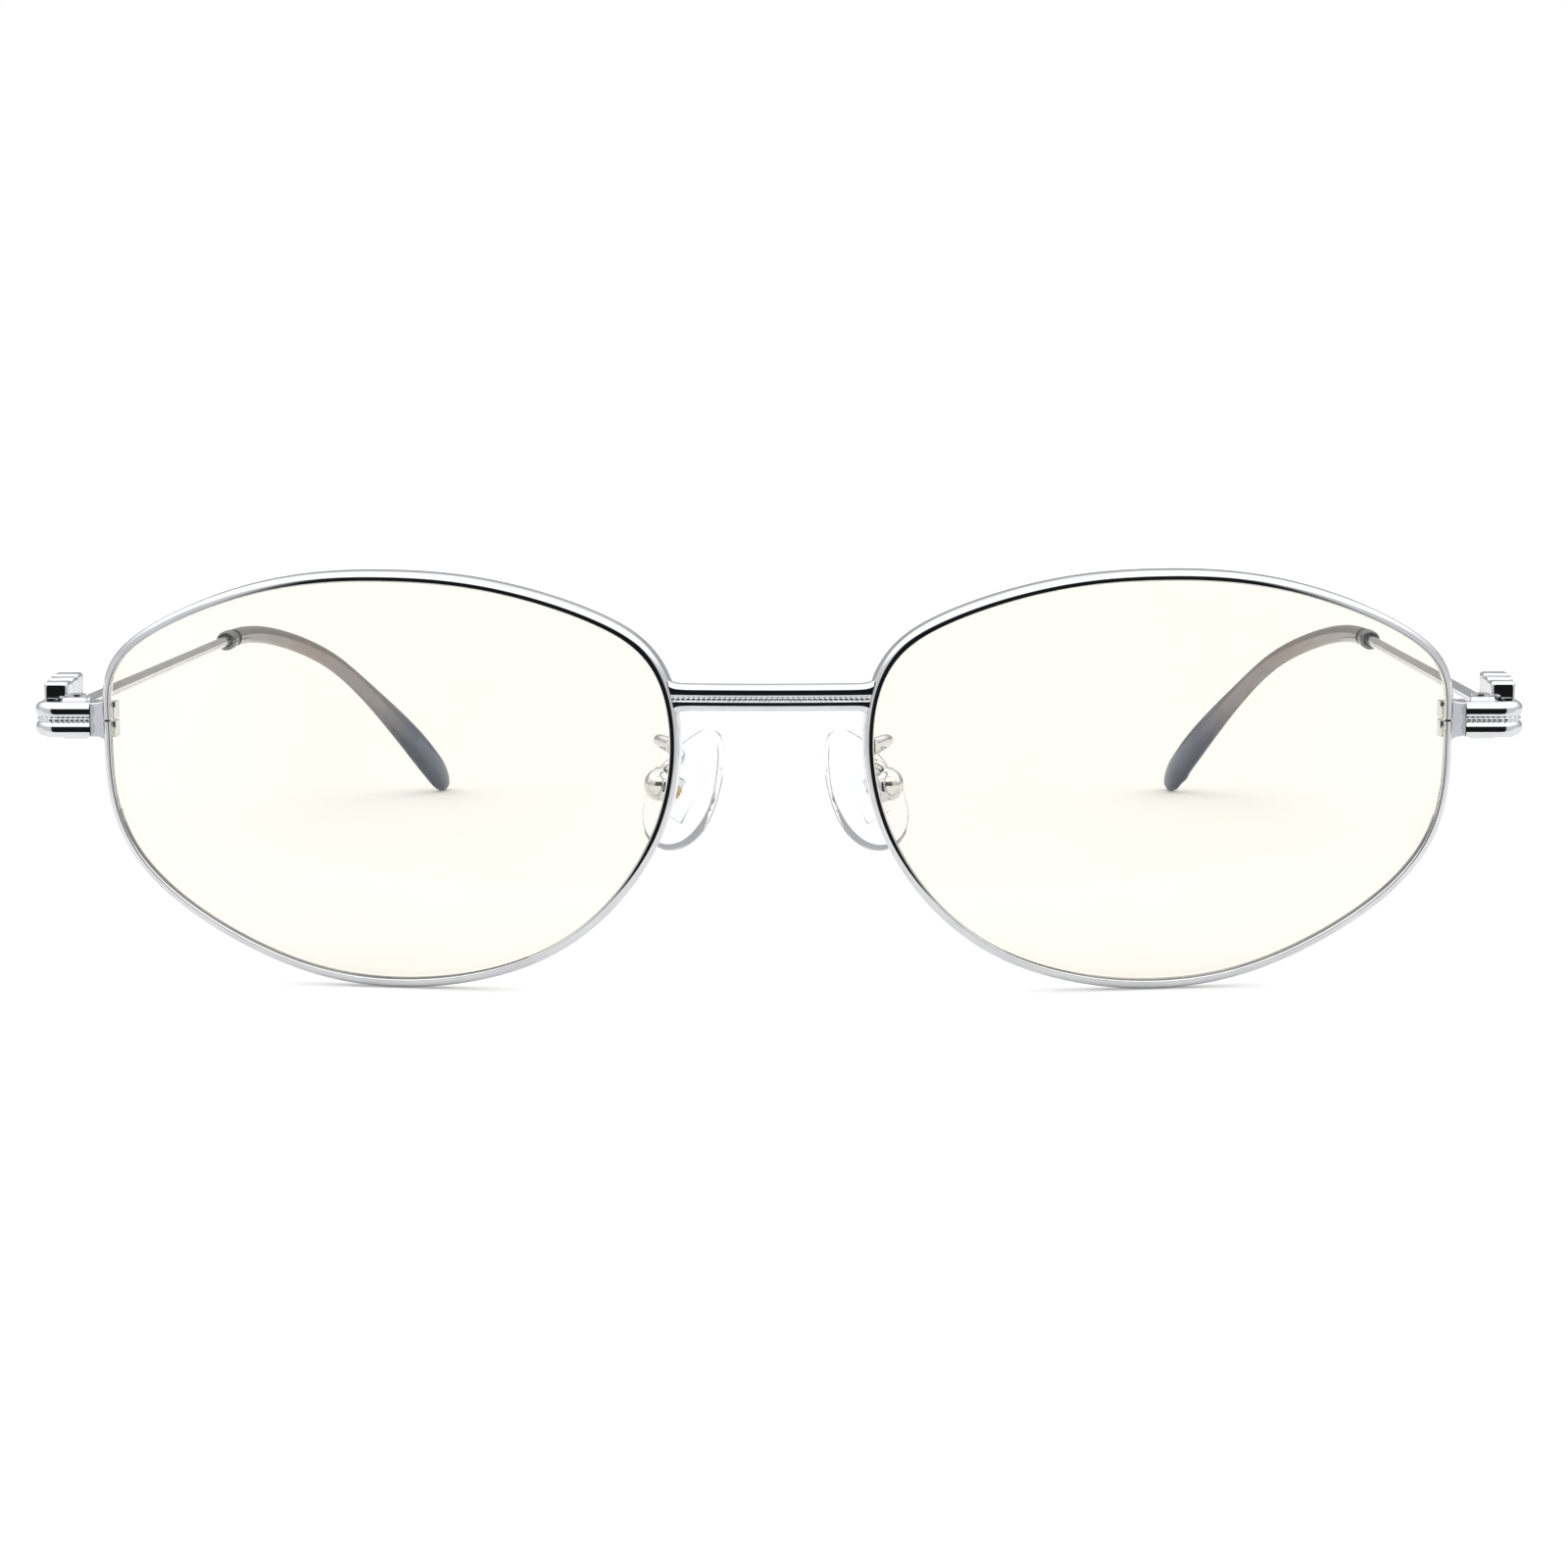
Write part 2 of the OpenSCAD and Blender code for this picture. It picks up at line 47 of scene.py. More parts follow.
LENS_PITCH = 70.6
BASE_R = 125.0
RIM_WALL = 0.85
RIM_DEPTH = 1.7
FRONT_LEAN = math.radians(7)
FACE_FORM = math.radians(8.5)
BRIDGE_RISE = 8.3
BRIDGE_REED_R = 0.62
BRIDGE_BOW_R = 60.0
HALF_WIDTH = 68.0
HINGE_RISE = 4.5
REED_R = 0.8
BARREL_R = 1.1
BLOCK_LENGTH = 6.5
BLOCK_H = 5.2
WIRE_R = 0.6
PADDLE_HALF_H = 2.05
TIP_HALF_T = 1.0
PAD_LENGTH = 12.0
PAD_WIDTH = 8.6
PAD_SPLAY = math.radians(27)
PAD_TURN = math.radians(42)
ARM_R = 0.5
SPLIT_W = 0.2
MID_DEPTH = 68.878
OUTLINE_CTRL = np.array([
    [26.2, 4.6], [27, 11.1], [11.3, 18.3], [-1.3, 19.1], [-10.3, 18.5], [-20.3, 15.5],
    [-26.8, 11], [-26.9, -3.6], [-16.4, -16.9], [0.8, -19.8], [12.7, -17], [27, -8.2]])


# ---- Curves ---------------------------------------------------------------------

def unit(v):
    v = np.asarray(v, float)
    return v / np.linalg.norm(v)


def cubic(a, b, c, d, t):
    return ((1 - t) ** 3 * a + (3 * t ** 3 - 6 * t * t + 4) * b
            + (-3 * t ** 3 + 3 * t * t + 3 * t + 1) * c + t ** 3 * d) / 6


def cubic_slope(a, b, c, d, t):
    return (-(1 - t) ** 2 * a + (3 * t * t - 4 * t) * b
            + (-3 * t * t + 2 * t + 1) * c + t * t * d) / 2


def outline_at(s):
    """Point and outward normal of the lens outline; s counts control points."""
    n = len(OUTLINE_CTRL)
    i = int(math.floor(s))
    t = s - i
    a, b, c, d = (OUTLINE_CTRL[(i + k) % n] for k in (-1, 0, 1, 2))
    along = unit(cubic_slope(a, b, c, d, t))
    return cubic(a, b, c, d, t), np.array([along[1], -along[0]])


def open_spline(ctrl, steps):
    """Points and unit directions of a B-spline from its first to its last point."""
    ctrl = np.asarray(ctrl, float)
    c = np.vstack([2 * ctrl[0] - ctrl[1], ctrl, 2 * ctrl[-1] - ctrl[-2]])
    spans = len(c) - 3
    out = []
    for i in range(spans):
        for k in range(steps + (1 if i == spans - 1 else 0)):
            t = k / steps
            out.append((cubic(c[i], c[i + 1], c[i + 2], c[i + 3], t),
                        unit(cubic_slope(c[i], c[i + 1], c[i + 2], c[i + 3], t))))
    return out


# ---- Places on the leaning, wrapped front -------------------------------------

def lens_to_front(u, y, v):
    c, s = math.cos(FACE_FORM), math.sin(FACE_FORM)
    return np.stack([LENS_PITCH / 2 + u * c - y * s, u * s + y * c, v], -1)


def lean(p):
    c, s = math.cos(FRONT_LEAN), math.sin(FRONT_LEAN)
    return np.stack([p[..., 0], p[..., 1] * c - p[..., 2] * s,
                     p[..., 1] * s + p[..., 2] * c], -1)


def ball_y(u, v, depth):
    """Where the ball that lies depth behind the rim's front is, at u, v."""
    return BASE_R - np.sqrt((BASE_R - depth) ** 2 - u * u - v * v)


FINE = [outline_at(s) for s in np.linspace(0, len(OUTLINE_CTRL), 960, endpoint=False)]
FINE_P = np.array([p for p, _ in FINE])
FINE_N = np.array([n for _, n in FINE])
OUTER = FINE_P + RIM_WALL / 2 * FINE_N
LENS_Z = -lean(lens_to_front(OUTER[:, 0], ball_y(OUTER[:, 0], OUTER[:, 1], 0),
                             OUTER[:, 1]))[:, 2].min()


def on_front(p):
    """A point of the upright front's frame, in the seated model."""
    return lean(np.asarray(p, float)) + np.array([0, -MID_DEPTH, LENS_Z])


def on_lens(u, v, depth):
    u, v = np.asarray(u, float), np.asarray(v, float)
    return on_front(lens_to_front(u, ball_y(u, v, depth), v))


RIM_HALF_W = OUTER[:, 0].max()
RIM_SIDE = on_lens(RIM_HALF_W, HINGE_RISE, 0)
HINGE_Z = RIM_SIDE[2]
END_Y = round(RIM_SIDE[1], 2)
REED_PITCH = 2 * REED_R + 0.04
CORNER_R = 1.6
PLATE_END_X = RIM_SIDE[0] + 1.1
RETURN_Y = END_Y + 3.9
LEG_X = HALF_WIDTH - REED_R
HINGE_X = LEG_X - REED_R - BARREL_R - 1
BLOCK_Y = RETURN_Y + 0.1
BLOCK_IN_X = HINGE_X + BARREL_R
BLOCK_W = HALF_WIDTH - 0.3 - BLOCK_IN_X
BLOCK_Z = HINGE_Z + 0.5
PAD_AT = np.array([8.2, 7.6 - MID_DEPTH, LENS_Z - 1.4])


def pad_to_model(p):
    p = np.asarray(p, float)
    x = p[..., 0] * math.cos(PAD_TURN) + p[..., 1] * math.sin(PAD_TURN)
    y = -p[..., 0] * math.sin(PAD_TURN) + p[..., 1] * math.cos(PAD_TURN)
    c, s = math.cos(PAD_SPLAY), math.sin(PAD_SPLAY)
    return PAD_AT + np.stack([x * c - p[..., 2] * s, y, x * s + p[..., 2] * c], -1)


# ---- Meshes ----------------------------------------------------------------------

def strip_faces(rows, cols, closed_rows):
    """Quads of a grid of rows x cols points, numbered row by row; each row is a ring."""
    out = []
    for i in range(rows if closed_rows else rows - 1):
        for k in range(cols):
            a, b = i * cols + k, i * cols + (k + 1) % cols
            j = ((i + 1) % rows) * cols
            out.append((a, b, j + (k + 1) % cols, j + k))
    return out


def skin(rings, closed=False, caps=True):
    """Points and faces of a tube over rings of equal point counts."""
    rings = [np.asarray(r, float) for r in rings]
    rows, cols = len(rings), len(rings[0])
    verts = np.vstack(rings)
    faces = strip_faces(rows, cols, closed)
    if caps and not closed:
        faces.append(tuple(reversed(range(cols))))
        faces.append(tuple((rows - 1) * cols + k for k in range(cols)))
    return verts, faces


def piece(name, parts, body, material, nodes, sharp=35, mirror=False):
    """One visual piece from (points in mm, faces) parts, on a body."""
    flip = -1 if mirror else 1
    bm = bmesh.new()
    for verts, faces in parts:
        made = [bm.verts.new(Vector((flip * v[0], v[1], v[2])) * MM) for v in verts]
        for f in faces:
            try:
                bm.faces.new([made[i] for i in (reversed(f) if mirror else f)])
            except ValueError:
                pass
    bmesh.ops.remove_doubles(bm, verts=bm.verts, dist=1e-7)
    bmesh.ops.recalc_face_normals(bm, faces=bm.faces)
    mesh = bpy.data.meshes.new(name)
    bm.to_mesh(mesh)
    bm.free()
    mesh.polygons.foreach_set("use_smooth", [True] * len(mesh.polygons))
    mesh.set_sharp_from_angle(angle=math.radians(sharp))
    obj = bpy.data.objects.new(name, mesh)
    bpy.context.scene.collection.objects.link(obj)
    mesh.materials.append(material)
    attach(obj, body)
    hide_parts(*nodes)
    return obj


def cross_ring(at, along, a, b, ref, n):
    """A ring of n points across a path, half-sizes a sideways and b along up."""
    side = unit(np.cross(along, ref))
    up = np.cross(side, along)
    ang = np.arange(n) / n * TAU
    return at + np.outer(a * np.cos(ang), side) + np.outer(b * np.sin(ang), up)


def reed_contour(r, pitch, bead, steps):
    """Closed outline of two half-round reeds with a bead between, on a flat back.
    First column is outwards, second is up; the last column marks the bead."""
    bead_x = r * 0.55
    top = np.array([0, pitch / 2])
    low, high = -80.0, 60.0
    for _ in range(40):
        mid = (low + high) / 2
        p = top + r * np.array([math.cos(math.radians(mid)), math.sin(math.radians(mid))])
        if np.hypot(p[0] - bead_x, p[1]) < bead:
            low = mid
        else:
            high = mid
    arc = [(top[0] + r * math.cos(a), top[1] + r * math.sin(a), 0)
           for a in np.radians(np.linspace(90, high, steps))]
    joint = math.degrees(math.atan2(arc[-1][1], arc[-1][0] - bead_x))
    half = [(bead_x + bead * math.cos(a), bead * math.sin(a), 1)
            for a in np.radians(np.linspace(joint, 0, 6))][1:-1]
    upper = arc + half
    lower = [(x, -y, m) for x, y, m in reversed(upper)]
    back_r = 0.12
    back = []
    for cx, cy, start in ((-r + back_r, -(pitch / 2 + r - back_r), 270),
                          (-r + back_r, pitch / 2 + r - back_r, 180)):
        back += [(cx + back_r * math.cos(a), cy + back_r * math.sin(a), 0)
                 for a in np.radians(np.linspace(start, start - 90, 4))]
    return np.array(upper + [(bead_x + bead, 0, 1)] + lower + back)


def rounded_rect(x0, x1, z0, z1, r, steps=5):
    out = []
    for cx, cz, start in ((x1 - r, z0 + r, -90), (x1 - r, z1 - r, 0),
                          (x0 + r, z1 - r, 90), (x0 + r, z0 + r, 180)):
        for a in np.radians(np.linspace(start, start + 90, steps)):
            out.append((cx + r * math.cos(a), cz + r * math.sin(a)))
    return np.array(out)


# ---- Materials -------------------------------------------------------------------

def new_material(name):
    mat = bpy.data.materials.new(name)
    mat.use_nodes = True
    nt = mat.node_tree
    bsdf = next(n for n in nt.nodes if n.type == "BSDF_PRINCIPLED")
    return mat, nt, bsdf


def noise(nt, scale, detail=4.0, stretch=None):
    coords = nt.nodes.new("ShaderNodeTexCoord")
    tex = nt.nodes.new("ShaderNodeTexNoise")
    tex.inputs["Scale"].default_value = scale
    tex.inputs["Detail"].default_value = detail
    if stretch:
        mapping = nt.nodes.new("ShaderNodeMapping")
        mapping.inputs["Scale"].default_value = stretch
        nt.links.new(coords.outputs["Object"], mapping.inputs["Vector"])
        nt.links.new(mapping.outputs["Vector"], tex.inputs["Vector"])
    else:
        nt.links.new(coords.outputs["Object"], tex.inputs["Vector"])
    return tex.outputs["Fac"]


def to_range(nt, value, low, high, start=0.3, end=0.7):
    node = nt.nodes.new("ShaderNodeMapRange")
    node.inputs["From Min"].default_value = start
    node.inputs["From Max"].default_value = end
    node.inputs["To Min"].default_value = low
    node.inputs["To Max"].default_value = high
    nt.links.new(value, node.inputs["Value"])
    return node.outputs["Result"]


def add_bump(nt, bsdf, value, strength, distance):
    bump = nt.nodes.new("ShaderNodeBump")
    bump.inputs["Strength"].default_value = strength
    bump.inputs["Distance"].default_value = distance
    nt.links.new(value, bump.inputs["Height"])
    nt.links.new(bump.outputs["Normal"], bsdf.inputs["Normal"])


def tinted(nt, bsdf, value, dark, light):
    """Base colour that wanders between two close tones."""
    ramp = nt.nodes.new("ShaderNodeValToRGB")
    ramp.color_ramp.elements[0].position = 0.35
    ramp.color_ramp.elements[0].color = (*dark, 1)
    ramp.color_ramp.elements[1].position = 0.65
    ramp.color_ramp.elements[1].color = (*light, 1)
    nt.links.new(value, ramp.inputs["Fac"])
    nt.links.new(ramp.outputs["Color"], bsdf.inputs["Base Color"])


def metal(name, dark, light, rough, bump=0.04, cell=900):
    mat, nt, bsdf = new_material(name)
    bsdf.inputs["Metallic"].default_value = 1.0
    tinted(nt, bsdf, noise(nt, 260, 3), dark, light)
    nt.links.new(to_range(nt, noise(nt, cell, 6), rough[0], rough[1]), bsdf.inputs["Roughness"])
    add_bump(nt, bsdf, noise(nt, cell * 2.5, 5, (1, 0.25, 1)), bump, 0.00002)
    return mat


CHROME = metal("polished_metal", (0.74, 0.75, 0.775), (0.82, 0.83, 0.85), (0.045, 0.10))
STEEL = metal("turned_steel", (0.60, 0.60, 0.59), (0.70, 0.70, 0.69), (0.16, 0.28), 0.08)
GOLD = metal("gold_screw", (0.50, 0.34, 0.17), (0.66, 0.49, 0.29), (0.18, 0.30), 0.08)
COLLAR = metal("dark_collar", (0.13, 0.14, 0.155), (0.20, 0.21, 0.225), (0.10, 0.20), 0.05)


def make_lens_material():
    mat, nt, bsdf = new_material("lens_clear")
    bsdf.inputs["IOR"].default_value = 1.5
    bsdf.inputs["Transmission Weight"].default_value = 1.0
    tinted(nt, bsdf, noise(nt, 60, 2), (0.985, 0.958, 0.885), (0.995, 0.968, 0.900))
    nt.links.new(to_range(nt, noise(nt, 500, 5), 0.0, 0.012), bsdf.inputs["Roughness"])
    return mat


def make_pad_material():
    mat, nt, bsdf = new_material("pad_silicone")
    bsdf.inputs["IOR"].default_value = 1.16
    bsdf.inputs["Transmission Weight"].default_value = 1.0
    tinted(nt, bsdf, noise(nt, 300, 3), (0.95, 0.955, 0.97), (0.985, 0.988, 0.995))
    nt.links.new(to_range(nt, noise(nt, 1500, 6), 0.03, 0.09), bsdf.inputs["Roughness"])
    add_bump(nt, bsdf, noise(nt, 900, 4), 0.08, 0.00003)
    return mat


def make_tip_material():
    """Clear grey where the wire goes in, warm taupe along it, slate blue at the end."""
    mat, nt, bsdf = new_material("tip_plastic")
    coords = nt.nodes.new("ShaderNodeTexCoord")
    split = nt.nodes.new("ShaderNodeSeparateXYZ")
    nt.links.new(coords.outputs["Object"], split.inputs["Vector"])
    along = to_range(nt, split.outputs["Y"], 0.0, 1.0, 0.022, 0.072)
    ramp = nt.nodes.new("ShaderNodeValToRGB")
    stops = ((0.0, (0.50, 0.49, 0.50)), (0.35, (0.45, 0.39, 0.36)), (0.60, (0.38, 0.35, 0.36)),
             (0.76, (0.09, 0.115, 0.19)), (1.0, (0.055, 0.08, 0.15)))
    while len(ramp.color_ramp.elements) < len(stops):
        ramp.color_ramp.elements.new(0.5)
    for element, (at, colour) in zip(ramp.color_ramp.elements, stops):
        element.position = at
        element.color = (*colour, 1)
    nt.links.new(along, ramp.inputs["Fac"])
    nt.links.new(ramp.outputs["Color"], bsdf.inputs["Base Color"])
    nt.links.new(to_range(nt, along, 0.9, 0.6, 0.2, 0.9), bsdf.inputs["Transmission Weight"])
    nt.links.new(to_range(nt, noise(nt, 700, 5), 0.08, 0.2), bsdf.inputs["Roughness"])
    add_bump(nt, bsdf, noise(nt, 1200, 5), 0.06, 0.00003)
    bsdf.inputs["IOR"].default_value = 1.47
    return mat


def make_insert_material():
    mat, nt, bsdf = new_material("insert_plastic")
    bsdf.inputs["IOR"].default_value = 1.06
    bsdf.inputs["Transmission Weight"].default_value = 1.0
    tinted(nt, bsdf, noise(nt, 300, 3), (0.95, 0.96, 0.97), (0.99, 0.99, 0.995))
    nt.links.new(to_range(nt, noise(nt, 1500, 6), 0.02, 0.06), bsdf.inputs["Roughness"])
    add_bump(nt, bsdf, noise(nt, 900, 4), 0.05, 0.00002)
    return mat


LENS = make_lens_material()
PAD = make_pad_material()
TIP = make_tip_material()
INSERT = make_insert_material()


# ---- Rims and lenses --------------------------------------------------------------

def solve_split(v_goal):
    """Where the outline passes the height v_goal on the temple side."""
    low, high = 0.0, 1.0
    for _ in range(40):
        mid = (low + high) / 2
        if outline_at(mid)[0][1] < v_goal:
            low = mid
        else:
            high = mid
    return low


HALF_WALL = RIM_WALL / 2
GROOVE_TIP = (-0.065, 0.85)          # bottom of the rim's groove, as [outwards, depth]
GROOVE_FRONT, GROOVE_BACK = 0.5, 1.2     # depths of the groove's two edges
LENS_FRONT, LENS_BACK = 0.22, 1.62       # depths of the lens faces
BEVEL_FRONT, BEVEL_BACK = 0.56, 1.14     # depths where the lens's bevel begins and ends
EDGE_GAP, BEVEL_GAP = 0.03, 0.04         # lens to rim wall, and to the groove's bottom


def rim_profile():
    """Rim section as [outwards, depth]: crest near the lens, sloping outer side, V groove."""
    crest, lip = -0.15, -0.27
    slope_depth, lip_depth, corner = 0.55, 0.2, 0.25
    front = [(crest + (HALF_WALL - crest) * math.cos(a), slope_depth * (1 - math.sin(a)))
             for a in np.radians(np.linspace(0, 90, 16))]
    front += [(lip + (HALF_WALL + lip) * -math.sin(a), lip_depth * (1 - math.cos(a)))
              for a in np.radians(np.linspace(0, 90, 8))]
    inner = [(-HALF_WALL, GROOVE_FRONT), GROOVE_TIP, (-HALF_WALL, GROOVE_BACK)]
    back = []
    for cx, start in ((-HALF_WALL + corner, 180), (HALF_WALL - corner, 90)):
        for a in np.radians(np.linspace(start, start - 90, 5)):
            back.append((cx + corner * math.cos(a), RIM_DEPTH - corner + corner * math.sin(a)))
    return front + inner + back


def make_rim(side):
    mirror = side == "left"
    start = solve_split(HINGE_RISE + SPLIT_W / 2)
    end = len(OUTLINE_CTRL) + solve_split(HINGE_RISE - SPLIT_W / 2)
    stations = [outline_at(s) for s in np.linspace(start, end, 520)]
    prof = np.array(rim_profile())
    rings = []
    for p, n in stations:
        uv = p + np.outer(prof[:, 0], n)
        rings.append(on_lens(uv[:, 0], uv[:, 1], prof[:, 1]))
    piece(f"rim_visual_{side}", [skin(rings)], "front", CHROME,
          [f"rim_{side}"], 30, mirror)


def make_lens(side):
    mirror = side == "left"
    count = 288
    stations = [outline_at(s) for s in np.linspace(0, len(OUTLINE_CTRL), count, endpoint=False)]
    p = np.array([a for a, _ in stations])
    n = np.array([b for _, b in stations])
    rings_n = 16
    edge = p - (HALF_WALL + EDGE_GAP) * n
    bevel = p + (GROOVE_TIP[0] - BEVEL_GAP) * n
    rings = []
    for k in range(1, rings_n + 1):
        rings.append(on_lens(*(edge * (k / rings_n)).T, LENS_FRONT))
    rings.append(on_lens(*edge.T, BEVEL_FRONT))
    rings.append(on_lens(*bevel.T, GROOVE_TIP[1]))
    rings.append(on_lens(*edge.T, BEVEL_BACK))
    for k in range(rings_n, 0, -1):
        rings.append(on_lens(*(edge * (k / rings_n)).T, LENS_BACK))
    verts, faces = skin(rings, caps=False)
    centre_front, centre_back = len(verts), len(verts) + 1
    verts = np.vstack([verts, on_lens(0, 0, LENS_FRONT), on_lens(0, 0, LENS_BACK)])
    last = (len(rings) - 1) * count
    for k in range(count):
        faces.append((centre_front, (k + 1) % count, k))
        faces.append((centre_back, last + k, last + (k + 1) % count))
    obj = piece(f"lens_visual_{side}", [(verts, faces)], "front", LENS,
                [f"lens_{side}"], 25, mirror)
    obj.visible_shadow = False


# ---- Bridge and end pieces ---------------------------------------------------------

def nasal_edge(z):
    """Half the gap between the rims' outer walls at height z above the lens centres."""
    inner = OUTER[:, 0] < 0
    order = np.argsort(OUTER[inner][:, 1])
    pts = OUTER[inner][order]
    u = np.interp(z, pts[:, 1], pts[:, 0])
    return lens_to_front(u, ball_y(u, z, 0.5), z)[..., 0]


BEAD_PERIOD = 0.46
BRIDGE_INTO_RIM = 0.22      # how far the bar runs into the rims
BRIDGE_FORWARD = 0.94       # how far its middle lies in front of the lens centres
BRIDGE_ARCH = 0.1           # rise of its middle over its ends
BRIDGE_FILLET = 0.42        # size of the solder fillets at its ends
BRIDGE_BEAD_CUT, BRIDGE_BEAD_WAVE = 0.04, 0.03


def bridge_contour(pitch):
    """As reed_contour, but the lower reed has a small crest and then faces downwards."""
    crest_z, back_x, pull = -0.22, -0.3, 0.42
    contour = reed_contour(BRIDGE_REED_R, pitch, 0.2, 16)
    out, up = contour[:, 0], contour[:, 1]
    front = (up < crest_z) & (out > back_x)
    depth = (crest_z - up).clip(0) / (pitch / 2 + BRIDGE_REED_R + crest_z)
    contour[:, 0] = np.where(front, out - pull * depth ** 1.2 * (out - back_x), out)
    return contour


def make_bridge():
    pitch = 2 * BRIDGE_REED_R - 0.04
    contour = bridge_contour(pitch)
    top = pitch / 2 + BRIDGE_REED_R
    ends = nasal_edge(BRIDGE_RISE + contour[:, 1]) + BRIDGE_INTO_RIM
    rings = []
    stations = 340
    for t in np.linspace(-1, 1, stations):
        x = t * ends
        # solder fillets: the section widens upwards and downwards where it meets the rims
        gap = (1 - abs(t)) * ends.mean()
        spread = BRIDGE_FILLET * math.exp(-gap / BRIDGE_FILLET)
        beads = BRIDGE_BEAD_WAVE * math.sin(x.mean() / BEAD_PERIOD * TAU)
        out = contour[:, 0] - contour[:, 2] * (BRIDGE_BEAD_CUT + beads)
        up = contour[:, 1] + spread * np.sign(contour[:, 1]) * (contour[:, 1] / top) ** 2
        bow = np.arcsin(np.clip(x / BRIDGE_BOW_R, -1, 1))
        y = BRIDGE_BOW_R - BRIDGE_FORWARD - (BRIDGE_BOW_R + out) * np.cos(bow)
        z = BRIDGE_RISE + up + BRIDGE_ARCH * (1 - t * t)
        rings.append(on_front(np.stack([x, y, z], -1)))
    piece("bridge_visual", [skin(rings)], "front", CHROME, ["bridge"], 40)


def temple_edge(z):
    """How far out the rim's outer wall is at height z, beside the end piece."""
    outer = OUTER[:, 0] > 15
    pts = OUTER[outer][np.argsort(OUTER[outer][:, 1])]
    height = on_lens(pts[:, 0], pts[:, 1], 0.6)
    order = np.argsort(height[:, 2])
    return np.interp(z, height[order, 2], height[order, 0])


def make_end_piece(side):
    mirror = side == "left"
    contour = reed_contour(REED_R, REED_PITCH, 0.26, 16)
    path = []
    for x in np.arange(PLATE_END_X, LEG_X - CORNER_R, BEAD_PERIOD / 8):
        path.append((x, END_Y + REED_R, 0.0, -1.0))
    for a in np.radians(np.linspace(0, 90, 40)):
        c, s = math.cos(a), math.sin(a)
        path.append((LEG_X - CORNER_R + CORNER_R * s, END_Y + REED_R + CORNER_R * (1 - c), s, -c))
    for y in np.linspace(END_Y + REED_R + CORNER_R, RETURN_Y, 14)[1:]:
        path.append((LEG_X, y, 1.0, 0.0))
    ends_soft = 0.16
    bead_cut, bead_wave = 0.08, 0.035
    length = [0.0]
    for a, b in zip(path, path[1:]):
        length.append(length[-1] + math.hypot(b[0] - a[0], b[1] - a[1]))
    rings = []
    for (x, y, nx, ny), run in zip(path, length):
        # the end at the hinge is rounded over a short length
        near = length[-1] - run
        shrink = 0.0
        if near < ends_soft:
            shrink = ends_soft - math.sqrt(ends_soft ** 2 - (ends_soft - near) ** 2)
        top = REED_PITCH / 2 + REED_R
        beads = bead_cut + bead_wave * math.sin(run / BEAD_PERIOD * TAU)
        out = contour[:, 0] * (1 - shrink / REED_R) - contour[:, 2] * beads
        up = contour[:, 1] * (1 - shrink / top)
        rings.append(np.stack([x + nx * out, y + ny * out, HINGE_Z + up], -1))
    # weld plate between the rim and the reeds, flared where it is soldered to the rim
    half = REED_PITCH / 2 + REED_R - 0.06
    plate_front, plate_back, plate_turn = END_Y + 0.12, END_Y + 0.98, 0.46
    plate = []
    for t in np.linspace(0, 1, 16):
        spread = 0.4 * math.exp(-t * 1.1 / 0.22)
        section = rounded_rect(plate_front, plate_back, -half - spread, half + spread, 0.14)
        start = temple_edge(HINGE_Z + section[:, 1]) - 0.2
        x = start + t * (PLATE_END_X + 0.1 - start)
        # the plate faces a little towards the temple, as it leaves the wrapped rim
        back = (section[:, 0] < END_Y + 0.5) * plate_turn * t
        plate.append(np.stack([x, section[:, 0] + back, HINGE_Z + section[:, 1]], -1))
    piece(f"end_piece_visual_{side}", [skin(rings), skin(plate)], "front",
          CHROME, [f"end_piece_{side}"], 40, mirror)


# ---- Temples -------------------------------------------------------------------------

WIRE_START = np.array([BLOCK_IN_X + BLOCK_W / 2, BLOCK_Y + BLOCK_LENGTH + 4, HINGE_Z])
COLLAR_AT = np.array([65.2, 88 - MID_DEPTH, HINGE_Z])
TIP_CTRL = [
    (65.1, 91, 1), (64.9, 95, 1), (63.6, 101, 0.985), (61.1, 107, 0.93),
    (57.6, 113, 0.83), (54.9, 119, 0.68), (52.2, 125, 0.51), (49.7, 131, 0.335),
    (47.9, 136, 0.185), (47, 140.2, 0.09)]
TIP_SPANS = len(TIP_CTRL) - 1
CORE_SHARE = 1 - 8 / 36


def flare(s):
    if s < 0.5:
        return 0.0
    return math.sin((s - 0.5) / 0.35 * math.pi / 2) ** 2 if s < 0.85 else 1.0


def end_round(s):
    return 1.0 if s < 0.9 else math.sqrt(max(0.0, 1 - ((s - 0.9) / 0.1) ** 2))


def tip_h(s):
    return (TIP_HALF_T + (PADDLE_HALF_H - TIP_HALF_T) * flare(s)) * max(0.14, end_round(s))


def tip_t(s):
    return TIP_HALF_T * (1 - 0.12 * flare(s)) * (0.35 + 0.65 * end_round(s))


def tip_line(k, steps):
    ctrl = [(x, y - MID_DEPTH, HINGE_Z * (1 - (1 - share) * k)) for x, y, share in TIP_CTRL]
    return open_spline(ctrl, steps)


def tip_rings(line, sides):
    out = []
    for i, (at, along) in enumerate(line):
        s = i / (len(line) - 1)
        out.append(cross_ring(at, along, tip_t(s), tip_h(s), (0, 0, 1), sides))
    return out


def tip_low(k):
    return min(r[:, 2].min() for r in tip_rings(tip_line(k, 24), 40))


DROP_FIRST = HINGE_Z / (HINGE_Z - tip_low(1.0))
DROP = DROP_FIRST * HINGE_Z / (HINGE_Z - tip_low(DROP_FIRST))


